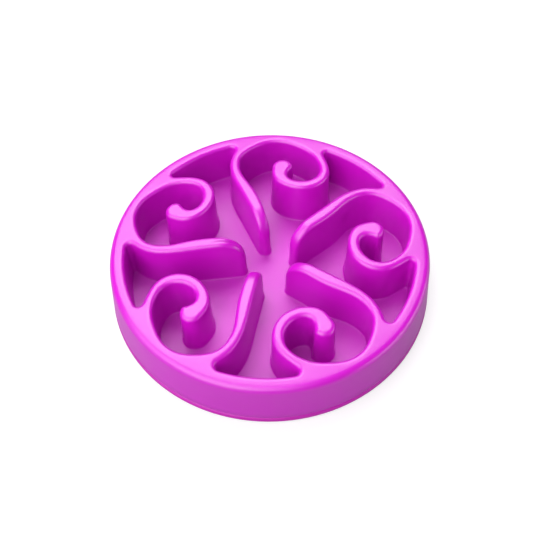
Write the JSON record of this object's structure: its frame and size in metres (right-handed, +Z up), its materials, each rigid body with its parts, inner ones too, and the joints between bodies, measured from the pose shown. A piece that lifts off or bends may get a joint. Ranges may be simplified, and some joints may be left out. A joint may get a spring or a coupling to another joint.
{
  "type": "slow feeder bowl",
  "caption": "Round domed pet bowl whose floor is split into winding channels by curled ridges, with a closed base on feet.",
  "frame": {"origin": "middle of the bowl on the surface it stands on", "axes": "+Z up along the bowl's axis; the first curled ridge lies towards +Y"},
  "size_m": [0.2, 0.2, 0.0379],
  "materials": {
    "bowl": "smooth moulded magenta plastic, satin to glossy",
    "plate": "smooth moulded magenta plastic, a little darker than the bowl",
    "feet": "matte dark rubber"
  },
  "bodies": {
    "root": {"bowl_shell": "bowl", "base_plate": "plate", "foot_1": "feet", "foot_2": "feet", "foot_3": "feet", "foot_4": "feet", "foot_5": "feet"}
  },
  "joints": []
}
